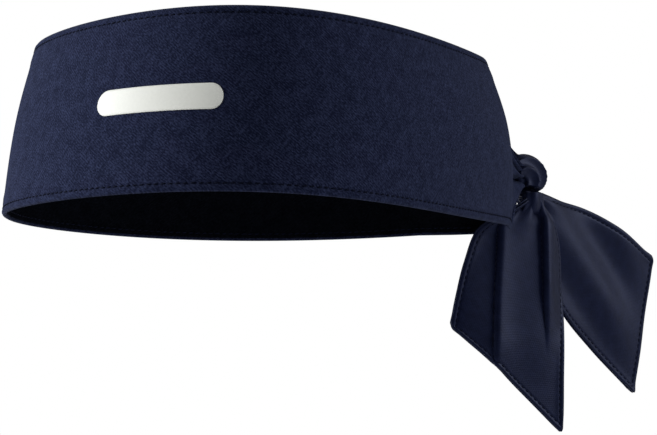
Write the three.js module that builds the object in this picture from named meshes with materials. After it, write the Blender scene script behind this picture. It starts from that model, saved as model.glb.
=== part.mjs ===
// A knit sports head tie, tied at the back, as it sits on a head. Millimetres.
// +Z is up, the forehead faces -Y, the knot is at +Y and the wearer's left is +X.
// The origin is the middle of the head at the level of the band's lower edge.
import * as THREE from "three";

// ---- Driving dimensions ----
// The band's ring, seen from above, at its lower edge.
const RING_HALF_WIDTH = 82.3;
const RING_HALF_LENGTH = 95.7;
const RING_EGG = 0.31; // how much wider the forehead end is than the nape end
const RING_HEEL = 14.8; // how far the pull of the knot draws the nape end out
const RING_HEEL_SHARPNESS = 6;
const BAND_HEIGHT = 64;
const PANEL_END_DEG = 152; // each side panel ends here, measured from the forehead

// The top edge leans inwards and the middle bulges, at the forehead, the sides and the nape.
const LEAN = { front: 14, side: 4.3, back: 8.3 };
const BULGE = { front: 2, side: 2.9, back: 5 };
// The lower edge rises and falls a little round the head.
const EDGE_WAVE = { twofold: 1.3, threefold: -0.7 };

// Cloth layers, from the outside in.
const OUTER_CLOTH = 0.7;
const LINING_CLOTH = 0.7;
const CLEARANCE = 0.3;
const HEM_DEPTH = 8; // the outer panel's edge, turned in behind itself
const HEM_CLOTH = 0.5;
const LINING_SETBACK = 0.9; // the lining stops this far short of the band's edges

// Sewing thread, laid on the outside and on the lining side of each seam.
const THREAD_THICKNESS = 0.5;
const BAND_STITCH_INSET = 3;
const TAIL_STITCH_INSET = 1.7;
const TAIL_THREAD_CLEARANCE = 0.5; // more than the band's, because the tails are folded

// The knot: two interlocked loops on a core that lies from left to right.
const KNOT_BEHIND_RING = 16.5;
const KNOT_Y = RING_HALF_LENGTH + RING_HEEL + KNOT_BEHIND_RING;
const KNOT_Z = 22;
const CORE_RADIUS = 4.2;
const CORE_HALF_LENGTH = 11;
const LOOP_RADIUS = 10;
const LOOP_WIDTH = 8;
const LOOP_CROWN = 1.4; // the loop's edges are this much lower than its middle
const LOOP_SPACING = 0.4;

// The gathered neck between a panel and the knot.
const NECK_HEIGHT = 18;
const NECK_DEPTH = 7;
const NECK_PLEATS = 4;
const NECK_PLEAT_DEPTH = 1.2;

// The gathered root of a tail, just under its loop. The tail's top below it is an arc round
// the tail's pivot.
const ROOT_X = 5;
const ROOT_HALF_DEPTH = 2.6;
const ROOT_WIDTH = 10;
const ROOT_DROP = 3.1;
const TAIL_TOP_RADIUS = 6.5;
const TAIL_TOP_HALF_ANGLE_DEG = 45;
const TAIL_FOLD = 1.2;

// Each tail's two long edges below its top, as [across, away from the knot], both measured
// from the tail's pivot. Across is positive to the rear. The last points are the two ends of
// the slanted cut.
const LEFT_TAIL = {
  side: 1,
  exitDeg: 0,
  yaw: 0.12,
  frontEdge: [[-10, 1.5], [-25, 5.5], [-34.5, 18], [-40.2, 39]],
  rearEdge: [[8, 4], [12.8, 12], [12.8, 32], [10.3, 80.5]],
};
const RIGHT_TAIL = {
  side: -1,
  exitDeg: 45,
  yaw: 0,
  frontEdge: [[-9, 4.8], [-15.5, 16.8], [-18.3, 38], [-13.8, 85]],
  rearEdge: [[11, 3], [21.5, 16], [29.5, 33], [35.3, 54]],
};
const TAIL_OUTWARD = 0.04; // how fast each tail parts from the other below the knot

// The plain bar transferred onto the left front of the band.
const EMBLEM = { angleDeg: 30, height: 0.5, length: 50, width: 9, thickness: 0.3 };

// How finely the curved pieces are divided.
const RING_STEPS = 64;
const NECK_STEPS = 8;
const TAIL_STEPS = 10;
const TAIL_COLUMNS = 14;

// ---- Materials ----
function cloth(color, roughness) {
  return new THREE.MeshStandardMaterial({ color, roughness, metalness: 0 });
}

const bandKnit = cloth(0x1e2339, 0.95);
const liningKnit = cloth(0x0c0e18, 0.95);
const tieKnit = cloth(0x1f2438, 0.8);
const stitchThread = cloth(0x14182a, 0.7);
const transferFilm = cloth(0xf0f2ec, 0.6);

// ---- Closed meshes ----
function signedVolume(corners, triangles) {
  let six = 0;
  for (const [a, b, c] of triangles) {
    six += corners[a].dot(new THREE.Vector3().crossVectors(corners[b], corners[c]));
  }
  return six / 6;
}

// A geometry of the triangles, turned so that its faces point out.
function closedGeometry(corners, triangles) {
  const inward = signedVolume(corners, triangles) < 0;
  const index = triangles.flatMap(([a, b, c]) => (inward ? [a, c, b] : [a, b, c]));
  const geometry = new THREE.BufferGeometry();
  geometry.setAttribute(
    "position",
    new THREE.Float32BufferAttribute(corners.flatMap((p) => p.toArray()), 3),
  );
  geometry.setIndex(index);
  geometry.computeVertexNormals();
  return geometry;
}

// Skins a row of closed sections that all have the same number of points. A section runs
// along one face of the cloth and back along the other, and its two halves face each other,
// point to point.
function loft(sections) {
  const count = sections[0].length;
  const corners = sections.flat();
  const triangles = [];
  for (let row = 0; row + 1 < sections.length; row++) {
    for (let i = 0; i < count; i++) {
      const a = row * count + i;
      const b = row * count + ((i + 1) % count);
      triangles.push([a, b, b + count]);
      triangles.push([a, b + count, a + count]);
    }
  }
  const lastRow = (sections.length - 1) * count;
  for (let a = 0; a + 1 < count / 2; a++) {
    const facing = count - 1 - a;
    triangles.push([a, facing, a + 1], [a + 1, facing, facing - 1]);
    const [b, opposite] = [lastRow + a, lastRow + facing];
    triangles.push([b, b + 1, opposite], [b + 1, opposite - 1, opposite]);
  }
  return closedGeometry(corners, triangles);
}

// A thread of square section through the points, each with the cloth's normal there.
function threadGeometry(points, normals) {
  const half = THREAD_THICKNESS / 2;
  const square = [[-half, -half], [half, -half], [half, half], [-half, half]];
  const sections = points.map((point, i) => {
    const before = points[Math.max(i - 1, 0)];
    const after = points[Math.min(i + 1, points.length - 1)];
    const along = after.clone().sub(before).normalize();
    const sideways = new THREE.Vector3().crossVectors(normals[i], along).normalize();
    return square.map(([s, n]) =>
      point.clone().addScaledVector(sideways, s).addScaledVector(normals[i], n),
    );
  });
  return loft(sections);
}

function piece(name, geometry, material) {
  const mesh = new THREE.Mesh(geometry, material);
  mesh.name = name;
  return mesh;
}

function steps(count, from, to) {
  return Array.from({ length: count + 1 }, (_, i) => THREE.MathUtils.lerp(from, to, i / count));
}

// ---- The ring of the band ----
// The ring's point at an angle from the forehead, with its outward normal and its direction.
function ringAt(angle) {
  const { sin, cos, hypot } = Math;
  const pull = (1 - cos(angle)) / 2;
  const x = RING_HALF_WIDTH * sin(angle) * (1 + RING_EGG * cos(angle));
  const y = -RING_HALF_LENGTH * cos(angle) + RING_HEEL * pull ** RING_HEEL_SHARPNESS;
  const dx = RING_HALF_WIDTH * (cos(angle) + RING_EGG * cos(2 * angle));
  const heelSlope = RING_HEEL_SHARPNESS * pull ** (RING_HEEL_SHARPNESS - 1) * (sin(angle) / 2);
  const dy = RING_HALF_LENGTH * sin(angle) + RING_HEEL * heelSlope;
  const size = hypot(dx, dy);
  return {
    point: new THREE.Vector3(x, y, 0),
    outward: new THREE.Vector3(dy / size, -dx / size, 0),
    along: new THREE.Vector3(dx / size, dy / size, 0),
  };
}

// A size given at the forehead, the sides and the nape, blended round the head.
function roundTheHead(sizes, angle) {
  const front = ((1 + Math.cos(angle)) / 2) ** 2;
  const back = ((1 - Math.cos(angle)) / 2) ** 2;
  const side = Math.sin(angle) ** 2;
  const sum = front + back + side;
  return (front * sizes.front + side * sizes.side + back * sizes.back) / sum;
}

// The point at an angle, a height above the lower edge, and a depth behind the outer face.
function bandPoint(angle, height, depth) {
  const { point, outward } = ringAt(angle);
  const share = height / BAND_HEIGHT;
  const lean = roundTheHead(LEAN, angle) * share;
  const bulge = roundTheHead(BULGE, angle) * 4 * share * (1 - share);
  const edge =
    EDGE_WAVE.twofold * Math.cos(2 * angle) + EDGE_WAVE.threefold * Math.cos(3 * angle);
  return point
    .clone()
    .addScaledVector(outward, bulge - lean - depth)
    .setZ(edge + height);
}

const PANEL_END = THREE.MathUtils.degToRad(PANEL_END_DEG);
const LINING_DEPTH = OUTER_CLOTH + HEM_CLOTH + CLEARANCE;
const BAND_THICKNESS = LINING_DEPTH + LINING_CLOTH;
// The rows between the hems, which both layers share so that they nest.
const MIDDLE_ROWS = steps(4, HEM_DEPTH, BAND_HEIGHT - HEM_DEPTH);

// Sweeps a cloth round the head, from panel end to panel end. Each row of the cloth is a
// height and the depths of its two faces there.
function bandSweep(rows) {
  const face = rows.map(([height, near]) => [height, near]);
  const back = rows.toReversed().map(([height, , far]) => [height, far]);
  const section = [...face, ...back];
  const sections = steps(RING_STEPS, -PANEL_END, PANEL_END).map((angle) =>
    section.map(([height, depth]) => bandPoint(angle, height, depth)),
  );
  return loft(sections);
}

// The outer panel: one cloth, doubled behind its own edges where they are turned in.
function outerPanelGeometry() {
  const hemmed = OUTER_CLOTH + HEM_CLOTH;
  const [low, high] = [MIDDLE_ROWS[0], MIDDLE_ROWS.at(-1)];
  return bandSweep([
    [0, 0, hemmed],
    [low, 0, hemmed],
    ...MIDDLE_ROWS.slice(1, -1).map((height) => [height, 0, OUTER_CLOTH]),
    [high, 0, hemmed],
    [BAND_HEIGHT, 0, hemmed],
  ]);
}

function liningGeometry() {
  const heights = [LINING_SETBACK, ...MIDDLE_ROWS, BAND_HEIGHT - LINING_SETBACK];
  return bandSweep(heights.map((height) => [height, LINING_DEPTH, BAND_THICKNESS]));
}

// A row of stitches round the band at a height, on the outside or on the lining side.
function bandThreadGeometry(height, onLining) {
  const clear = CLEARANCE + THREAD_THICKNESS / 2;
  const depth = onLining ? BAND_THICKNESS + clear : -clear;
  const angles = steps(RING_STEPS, -PANEL_END, PANEL_END);
  return threadGeometry(
    angles.map((angle) => bandPoint(angle, height, depth)),
    angles.map((angle) => ringAt(angle).outward),
  );
}

// A bar with round ends, bent onto the band: its half width at each place along it.
function emblemGeometry() {
  const radius = EMBLEM.width / 2;
  const straight = EMBLEM.length / 2 - radius;
  const roundEnd = steps(4, 80, 0).map((deg) => THREE.MathUtils.degToRad(deg));
  const end = roundEnd.map((turn) => [straight + radius * Math.sin(turn), radius * Math.cos(turn)]);
  const bar = [
    ...end.map(([x, half]) => [-x, half]),
    ...steps(8, -straight, straight).slice(1, -1).map((x) => [x, radius]),
    ...end.toReversed(),
  ];
  const angle = THREE.MathUtils.degToRad(EMBLEM.angleDeg);
  const middle = EMBLEM.height * BAND_HEIGHT;
  const perMillimetre = 1 / bandPoint(angle, middle, 0).distanceTo(bandPoint(angle + 1, middle, 0));
  const near = -CLEARANCE;
  const far = -CLEARANCE - EMBLEM.thickness;
  const sections = bar.map(([x, half]) =>
    [[-half, near], [half, near], [half, far], [-half, far]].map(([up, depth]) =>
      bandPoint(angle + x * perMillimetre, middle + up, depth),
    ),
  );
  return loft(sections);
}

// ---- The gathered necks ----
// Each point of the panel's end section runs on a smooth curve to its place in the bundle
// that enters the knot, and pleats deepen on the way.
function neckGeometry(side) {
  const startAngle = PANEL_END + CLEARANCE / RING_HALF_WIDTH;
  const start = ringAt(side * startAngle);
  const heading = start.along.clone().multiplyScalar(side);
  const bundleY = KNOT_Y - LOOP_RADIUS - CLEARANCE - NECK_PLEAT_DEPTH / 2;
  const bundleX = NECK_DEPTH / 2 + CORE_RADIUS / 2 + LOOP_SPACING;
  const heights = steps(4 * NECK_PLEATS, 0, 1);
  const loop = [
    ...heights.map((share) => [share, 0]),
    ...heights.toReversed().map((share) => [share, 1]),
  ];
  const corner = ([share, back]) => {
    const from = bandPoint(side * startAngle, share * BAND_HEIGHT, back * BAND_THICKNESS);
    const to = new THREE.Vector3(
      side * (bundleX + NECK_DEPTH * (0.5 - back)),
      bundleY,
      KNOT_Z + NECK_HEIGHT * (share - 0.5),
    );
    const reach = from.distanceTo(to) / 3;
    return new THREE.CubicBezierCurve3(
      from,
      from.clone().addScaledVector(heading, reach),
      to.clone().add(new THREE.Vector3(side * reach * 0.5, -reach, 0)),
      to,
    );
  };
  const curves = loop.map(corner);
  const sections = steps(NECK_STEPS, 0, 1).map((t) =>
    curves.map((curve, i) => {
      const pleat = NECK_PLEAT_DEPTH * t * Math.cos(2 * Math.PI * NECK_PLEATS * loop[i][0]);
      return curve.getPoint(t).addScaledVector(start.outward, pleat * (1 - t / 2));
    }),
  );
  return loft(sections);
}

// ---- The knot ----
// Turns a lathe round the knot's own axis, which runs from left to right.
function lathedOnKnot(profile, segments) {
  return new THREE.LatheGeometry(profile, segments)
    .rotateZ(-Math.PI / 2)
    .translate(0, KNOT_Y, KNOT_Z);
}

function knotCoreGeometry() {
  const straight = CORE_HALF_LENGTH - CORE_RADIUS;
  const cap = steps(4, 0, 90).map((deg) => THREE.MathUtils.degToRad(deg));
  const top = cap.map(
    (turn) =>
      new THREE.Vector2(CORE_RADIUS * Math.sin(turn), straight + CORE_RADIUS * Math.cos(turn)),
  );
  const bottom = top.map((p) => new THREE.Vector2(p.x, -p.y));
  return lathedOnKnot([...bottom, ...top.reverse()], 16);
}

// A loop is a ring of cloth round the core, lower at its edges than in its middle.
function knotLoopGeometry(side) {
  const inner = CORE_RADIUS + CLEARANCE;
  const middle = (side * (LOOP_SPACING + LOOP_WIDTH)) / 2;
  const across = steps(6, -1, 1);
  const outside = across.map(
    (x) => new THREE.Vector2(LOOP_RADIUS - LOOP_CROWN * x * x, middle + (x * LOOP_WIDTH) / 2),
  );
  const first = new THREE.Vector2(inner, middle - LOOP_WIDTH / 2);
  const last = new THREE.Vector2(inner, middle + LOOP_WIDTH / 2);
  return lathedOnKnot([first, ...outside, last, first], 20);
}

// ---- The tails ----
// A place in a tail's own frame: x to the wearer's left, across, and away from the knot.
function tailPlace(tail, x, across, away) {
  const exit = THREE.MathUtils.degToRad(tail.exitDeg);
  return new THREE.Vector3(
    x,
    KNOT_Y + across * Math.cos(exit) + away * Math.sin(exit),
    KNOT_Z + across * Math.sin(exit) - away * Math.cos(exit),
  );
}

// The root: a short gathered stub whose round top lets the tail fall to the side.
function tailRootGeometry(tail) {
  const outline = new THREE.Shape();
  outline.absarc(0, 0, ROOT_HALF_DEPTH, 0, Math.PI);
  outline.lineTo(-ROOT_HALF_DEPTH, ROOT_HALF_DEPTH - ROOT_DROP);
  outline.lineTo(ROOT_HALF_DEPTH, ROOT_HALF_DEPTH - ROOT_DROP);
  const stub = { depth: ROOT_WIDTH, bevelEnabled: false, curveSegments: 8 };
  return new THREE.ExtrudeGeometry(outline, stub)
    .translate(0, -LOOP_RADIUS - CLEARANCE - ROOT_HALF_DEPTH, -ROOT_WIDTH / 2)
    .rotateX(Math.PI / 2 + THREE.MathUtils.degToRad(tail.exitDeg))
    .translate(tail.side * ROOT_X, KNOT_Y, KNOT_Z);
}

// The tail's top edge: an arc round the pivot, a clearance below the root.
const PIVOT_AWAY = LOOP_RADIUS + CLEARANCE + ROOT_DROP + CLEARANCE + TAIL_TOP_RADIUS;

function tailTop(u) {
  const half = THREE.MathUtils.degToRad(TAIL_TOP_HALF_ANGLE_DEG);
  const turn = THREE.MathUtils.lerp(-half, half, u);
  return new THREE.Vector3(Math.sin(turn), -Math.cos(turn), 0).multiplyScalar(TAIL_TOP_RADIUS);
}

// A tail's cloth as a function of u, from its front edge to its rear edge, of v, from its
// top to its cut, and of a depth towards the wearer's left.
function tailSurface(tail) {
  const edge = (start, points) =>
    new THREE.CatmullRomCurve3([start, ...points.map(([a, b]) => new THREE.Vector3(a, b, 0))]);
  const front = edge(tailTop(0), tail.frontEdge);
  const rear = edge(tailTop(1), tail.rearEdge);
  const pointAt = (u, v, depth) => {
    const chord = tailTop(0).lerp(tailTop(1), u);
    const flat = front.getPoint(v).lerp(rear.getPoint(v), u);
    flat.addScaledVector(tailTop(u).sub(chord), (1 - v) ** 8);
    const fullness = Math.min(1, v * 4);
    const fold = TAIL_FOLD * fullness * Math.cos(4 * Math.PI * u);
    const parted = TAIL_OUTWARD * Math.max(0, flat.y);
    const x = tail.side * (ROOT_X + parted) + tail.yaw * fullness * flat.x + fold + depth;
    return tailPlace(tail, x, flat.x, PIVOT_AWAY + flat.y);
  };
  const widthAt = (v) => front.getPoint(v).distanceTo(rear.getPoint(v));
  return { pointAt, widthAt, length: (front.getLength() + rear.getLength()) / 2 };
}

// One cloth of a tail, between two depths.
function tailClothGeometry(tail, near, far) {
  const { pointAt } = tailSurface(tail);
  const columns = steps(TAIL_COLUMNS, 0, 1);
  const loop = [
    ...columns.map((u) => [u, near]),
    ...columns.toReversed().map((u) => [u, far]),
  ];
  const sections = steps(TAIL_STEPS, 0, 1).map((v) =>
    loop.map(([u, depth]) => pointAt(u, v, depth)),
  );
  return loft(sections);
}

// The stitches of a tail: down its front edge, along its cut and up its rear edge.
function tailThreadGeometry(tail, depth) {
  const { pointAt, widthAt, length } = tailSurface(tail);
  const lastRow = 1 - TAIL_STITCH_INSET / length;
  const down = steps(TAIL_STEPS, 0.12, lastRow);
  const inset = (v) => TAIL_STITCH_INSET / widthAt(v);
  const route = [
    ...down.map((v) => [inset(v), v]),
    ...steps(TAIL_COLUMNS, inset(lastRow), 1 - inset(lastRow)).slice(1, -1).map((u) => [u, lastRow]),
    ...down.toReversed().map((v) => [1 - inset(v), v]),
  ];
  const toLeft = new THREE.Vector3(1, 0, 0);
  return threadGeometry(
    route.map(([u, v]) => pointAt(u, v, depth)),
    route.map(() => toLeft),
  );
}

// The root, the two cloths and the two threads of one tail.
function tailPieces(name, tail) {
  const half = CLEARANCE / 2;
  const clear = TAIL_THREAD_CLEARANCE + THREAD_THICKNESS / 2;
  const faceOut = tail.side;
  const outerFar = faceOut * (half + OUTER_CLOTH);
  const liningFar = -faceOut * (half + LINING_CLOTH);
  return [
    piece(`${name}_tail_root`, tailRootGeometry(tail), tieKnit),
    piece(`${name}_tail_outer`, tailClothGeometry(tail, faceOut * half, outerFar), tieKnit),
    piece(`${name}_tail_lining`, tailClothGeometry(tail, -faceOut * half, liningFar), tieKnit),
    piece(
      `${name}_tail_needle_thread`,
      tailThreadGeometry(tail, outerFar + faceOut * clear),
      stitchThread,
    ),
    piece(
      `${name}_tail_bobbin_thread`,
      tailThreadGeometry(tail, liningFar - faceOut * clear),
      stitchThread,
    ),
  ];
}

// ---- The head tie ----
function bandPieces() {
  const low = BAND_STITCH_INSET;
  const high = BAND_HEIGHT - BAND_STITCH_INSET;
  return [
    piece("band_outer_panel", outerPanelGeometry(), bandKnit),
    piece("band_lining", liningGeometry(), liningKnit),
    piece("top_needle_thread", bandThreadGeometry(high, false), stitchThread),
    piece("top_bobbin_thread", bandThreadGeometry(high, true), stitchThread),
    piece("bottom_needle_thread", bandThreadGeometry(low, false), stitchThread),
    piece("bottom_bobbin_thread", bandThreadGeometry(low, true), stitchThread),
    piece("front_emblem", emblemGeometry(), transferFilm),
  ];
}

function knotPieces() {
  return [
    piece("left_neck", neckGeometry(1), bandKnit),
    piece("right_neck", neckGeometry(-1), bandKnit),
    piece("knot_core", knotCoreGeometry(), tieKnit),
    piece("left_knot_loop", knotLoopGeometry(1), tieKnit),
    piece("right_knot_loop", knotLoopGeometry(-1), tieKnit),
  ];
}

const headTie = new THREE.Group();
headTie.add(...bandPieces(), ...knotPieces());
headTie.add(...tailPieces("left", LEFT_TAIL), ...tailPieces("right", RIGHT_TAIL));

export default headTie;
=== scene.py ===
"""A knit sports head tie, knotted behind the head, with its two tails hanging.

Lengths are in metres. +Z is up, the forehead faces -Y, the knot is at +Y and the wearer's left
is +X.
"""
import logging
import math
from collections.abc import Sequence
from dataclasses import dataclass, field
from enum import Enum

import bpy
import numpy as np
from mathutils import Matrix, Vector


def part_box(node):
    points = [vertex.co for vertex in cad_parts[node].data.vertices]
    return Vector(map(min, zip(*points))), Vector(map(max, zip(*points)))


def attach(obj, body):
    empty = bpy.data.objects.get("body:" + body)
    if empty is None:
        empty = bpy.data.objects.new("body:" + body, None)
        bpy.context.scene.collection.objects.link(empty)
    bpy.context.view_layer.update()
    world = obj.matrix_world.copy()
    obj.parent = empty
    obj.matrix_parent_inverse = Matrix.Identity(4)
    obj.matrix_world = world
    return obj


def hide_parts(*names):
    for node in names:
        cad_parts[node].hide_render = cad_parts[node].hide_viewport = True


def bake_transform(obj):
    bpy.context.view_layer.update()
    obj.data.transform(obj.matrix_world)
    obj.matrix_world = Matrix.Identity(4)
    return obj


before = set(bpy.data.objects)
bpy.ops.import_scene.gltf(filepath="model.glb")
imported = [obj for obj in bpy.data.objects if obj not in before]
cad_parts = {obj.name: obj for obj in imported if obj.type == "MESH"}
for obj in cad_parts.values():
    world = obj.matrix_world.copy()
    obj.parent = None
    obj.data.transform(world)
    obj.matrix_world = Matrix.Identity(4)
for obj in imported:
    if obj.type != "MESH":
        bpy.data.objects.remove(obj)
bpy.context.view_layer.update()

LOG = logging.getLogger("head_tie")
MM = 0.001
KNOT_PULL = (0.0, -1.8 * MM, 2.4 * MM)  # the band draws the wraps up and forward of the core

Grid = np.ndarray
Point = tuple[float, float]


class Slot(Enum):
    """The material slots of the record, by what is made of them."""

    BAND_KNIT = "band_knit"
    LINING_KNIT = "lining_knit"
    TIE_KNIT = "tie_knit"
    STITCH_THREAD = "stitch_thread"
    TRANSFER_FILM = "transfer_film"


# ---- Small formulas ----
def unit(vectors: Grid) -> Grid:
    """Each vector divided by its own length."""
    return vectors / np.maximum(np.linalg.norm(vectors, axis=-1, keepdims=True), 1e-12)


def bell(x: Grid, middle: Grid | float, width: float) -> Grid:
    """A hump of height 1: e to the power of minus the square of (x - middle) / width."""
    return np.exp(-(((x - middle) / width) ** 2))


def ramp(x: Grid, low: Grid | float, high: Grid | float) -> Grid:
    """A smooth rise from 0 at low to 1 at high: 3t² - 2t³ of the share t of the way."""
    t = np.clip((x - low) / (high - low), 0, 1)
    return t * t * (3 - 2 * t)


def smooth_curve(points: Sequence[Point], share: Grid) -> Grid:
    """A smooth curve through given points.

    Between two points it is the cubic with the mean slope of the neighbours at each of them.

    Args:
        points: The points, in order.
        share: How far along the curve's chords each answer lies, from 0 to 1.

    Returns:
        An array of share's shape with the coordinates as its last axis.
    """
    p = np.asarray(points, float)
    knots = np.concatenate([[0], np.cumsum(np.linalg.norm(np.diff(p, axis=0), axis=1))])
    slopes = np.gradient(p, knots, axis=0)
    at = np.clip(share, 0, 1) * knots[-1]
    i = np.clip(np.searchsorted(knots, at, side="right") - 1, 0, len(p) - 2)
    span = (knots[i + 1] - knots[i])[..., None]
    t = (at - knots[i])[..., None] / span
    start = (2 * t**3 - 3 * t**2 + 1) * p[i] + (t**3 - 2 * t**2 + t) * span * slopes[i]
    end = (3 * t**2 - 2 * t**3) * p[i + 1] + (t**3 - t**2) * span * slopes[i + 1]
    return start + end


def edge_spacing(length: float, fine: float, fine_count: int, coarse_count: int) -> Grid:
    """Places from 0 to length that are close together near both ends.

    Args:
        length: The whole length.
        fine: How much of it at each end has close places.
        fine_count: How many places such an end has.
        coarse_count: How many the middle has, its own two ends included.

    Returns:
        The places, in order.
    """
    near = np.linspace(0, fine, fine_count)
    middle = np.linspace(fine, length - fine, coarse_count)[1:-1]
    return np.concatenate([near, middle, length - near[::-1]])


# ---- Closed surfaces ----
@dataclass
class Surface:
    """A closed surface: its points, its faces grouped by corner count, and a UV at each point."""

    points: Grid
    faces: list[Grid]
    uv: Grid

    def outward(self) -> "Surface":
        """The same surface with its faces turned so that they point out.

        Returns:
            The surface itself.
        """
        p = self.points
        volume = sum(
            np.einsum("ij,ij->", p[f[:, 0]], np.cross(p[f[:, i]], p[f[:, i + 1]]))
            for f in self.faces
            for i in range(1, f.shape[1] - 1)
        )
        if volume < 0:
            self.faces = [f[:, ::-1] for f in self.faces]
        return self


def grid_faces(rows: int, cols: int) -> Grid:
    """The four-cornered faces between the points of a grid.

    Args:
        rows: How many rows of points there are.
        cols: How many columns.

    Returns:
        Four point numbers for each face.
    """
    corner = np.arange(rows * cols).reshape(rows, cols)
    four = [corner[:-1, :-1], corner[1:, :-1], corner[1:, 1:], corner[:-1, 1:]]
    return np.stack(four, -1).reshape(-1, 4)


def cloth_slab(front: Grid, back: Grid, uv: Grid, rim: float) -> Surface:
    """Closes the two facing grids of a cloth with a rounded rim.

    The rim's line lies midway between the two grids' edges, pushed out by rim along the
    direction from the next point inside.

    Args:
        front: Points of one face, rows by columns.
        back: Points of the other face, each behind its partner.
        uv: A UV for each pair of points.
        rim: How far the rim stands out.

    Returns:
        One closed surface.
    """
    rows, cols = front.shape[:2]
    count = rows * cols
    index = np.arange(count).reshape(rows, cols)
    ring = np.concatenate([index[0, :-1], index[:-1, -1], index[-1, :0:-1], index[:0:-1, 0]])
    row, col = np.divmod(ring, cols)
    inner = np.clip(row, 1, rows - 2) * cols + np.clip(col, 1, cols - 2)
    middle = ((front + back) / 2).reshape(-1, 3)
    edge = middle[ring] + rim * unit(middle[ring] - middle[inner])
    near, after = np.arange(len(ring)), np.roll(np.arange(len(ring)), -1)
    line = 2 * count
    faces = [
        grid_faces(rows, cols),
        grid_faces(rows, cols)[:, ::-1] + count,
        np.stack([ring, ring[after], line + after, line + near], -1),
        np.stack([line + near, line + after, ring[after] + count, ring + count], -1),
    ]
    flat_uv = uv.reshape(-1, 2)
    points = np.concatenate([front.reshape(-1, 3), back.reshape(-1, 3), edge])
    return Surface(points, faces, np.concatenate([flat_uv, flat_uv, flat_uv[ring]])).outward()


def closed_tube(rings: Grid, uv: Grid) -> Surface:
    """Skins a row of rings and closes each end with a fan round the ring's middle.

    Args:
        rings: Points, one row for each ring; the last point of a ring joins its first.
        uv: A UV for each point.

    Returns:
        One closed surface.
    """
    rows, cols = rings.shape[:2]
    corner = np.arange(rows * cols).reshape(rows, cols)
    beside = np.roll(corner, -1, axis=1)
    walls = np.stack([corner[:-1], corner[1:], beside[1:], beside[:-1]], -1).reshape(-1, 4)
    ends = rows * cols + np.arange(2)
    first = np.stack([np.full(cols, ends[0]), corner[0], beside[0]], -1)
    last = np.stack([np.full(cols, ends[1]), beside[-1], corner[-1]], -1)
    points = np.concatenate([rings.reshape(-1, 3), rings[[0, -1]].mean(axis=1)])
    all_uv = np.concatenate([uv.reshape(-1, 2), uv[[0, -1]].mean(axis=1)])
    return Surface(points, [walls, np.concatenate([first, last])], all_uv).outward()


def closed_ring(sections: Grid, uv: Grid) -> Surface:
    """Skins sections that follow each other round and back to the first.

    Args:
        sections: Points, one row for each section.
        uv: A UV for each point.

    Returns:
        One closed surface.
    """
    rows, cols = sections.shape[:2]
    corner = np.arange(rows * cols).reshape(rows, cols)
    after, beside = np.roll(corner, -1, axis=0), np.roll(corner, -1, axis=1)
    both = np.roll(after, -1, axis=1)
    walls = np.stack([corner, after, both, beside], -1).reshape(-1, 4)
    return Surface(sections.reshape(-1, 3), [walls], uv.reshape(-1, 2)).outward()


def make_piece(name: str, surface: Surface, material: bpy.types.Material) -> bpy.types.Object:
    """Makes a smooth-shaded object, at the origin, of a surface.

    Args:
        name: The piece's name.
        surface: Its closed surface.
        material: Its finish.

    Returns:
        The new object, linked into the scene.
    """
    mesh = bpy.data.meshes.new(name)
    corners = np.concatenate([f.ravel() for f in surface.faces]).astype(np.int32)
    sizes = np.concatenate([np.full(len(f), f.shape[1]) for f in surface.faces])
    mesh.vertices.add(len(surface.points))
    mesh.vertices.foreach_set("co", surface.points.astype(np.float32).ravel())
    mesh.loops.add(len(corners))
    mesh.loops.foreach_set("vertex_index", corners)
    mesh.polygons.add(len(sizes))
    mesh.polygons.foreach_set("loop_start", (np.cumsum(sizes) - sizes).astype(np.int32))
    mesh.update(calc_edges=True)
    mesh.shade_smooth()
    layer = mesh.uv_layers.new(name="UVMap")
    layer.uv.foreach_set("vector", surface.uv[corners].astype(np.float32).ravel())
    mesh.materials.append(material)
    made = bpy.data.objects.new(name, mesh)
    bpy.context.scene.collection.objects.link(made)
    LOG.info("%s: %d points, %d faces", name, len(surface.points), len(sizes))
    return made


# ---- Shader maths ----
class Wire:
    """A node's output, on which arithmetic adds Math nodes."""

    def __init__(self, shader: "Shader", socket: bpy.types.NodeSocket) -> None:
        """Wraps an output socket of the shader's tree."""
        self.shader = shader
        self.socket = socket

    def _math(self, operation: str, first: "Wire | float", second: "Wire | float" = 0.0) -> "Wire":
        """The result of one Math node."""
        return self.shader.wire("ShaderNodeMath", {"operation": operation}, {0: first, 1: second})

    def __add__(self, other: "Wire | float") -> "Wire":
        """The sum."""
        return self._math("ADD", self, other)

    def __sub__(self, other: "Wire | float") -> "Wire":
        """The difference."""
        return self._math("SUBTRACT", self, other)

    def __mul__(self, other: "Wire | float") -> "Wire":
        """The product."""
        return self._math("MULTIPLY", self, other)

    def __rsub__(self, other: float) -> "Wire":
        """The difference from a number."""
        return self._math("SUBTRACT", other, self)

    __radd__ = __add__
    __rmul__ = __mul__

    def sine(self) -> "Wire":
        """The sine, of an angle in radians."""
        return self._math("SINE", self)

    def clamped(self) -> "Wire":
        """The value, held between 0 and 1."""
        return self._math("MINIMUM", self._math("MAXIMUM", self, 0.0), 1.0)


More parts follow.
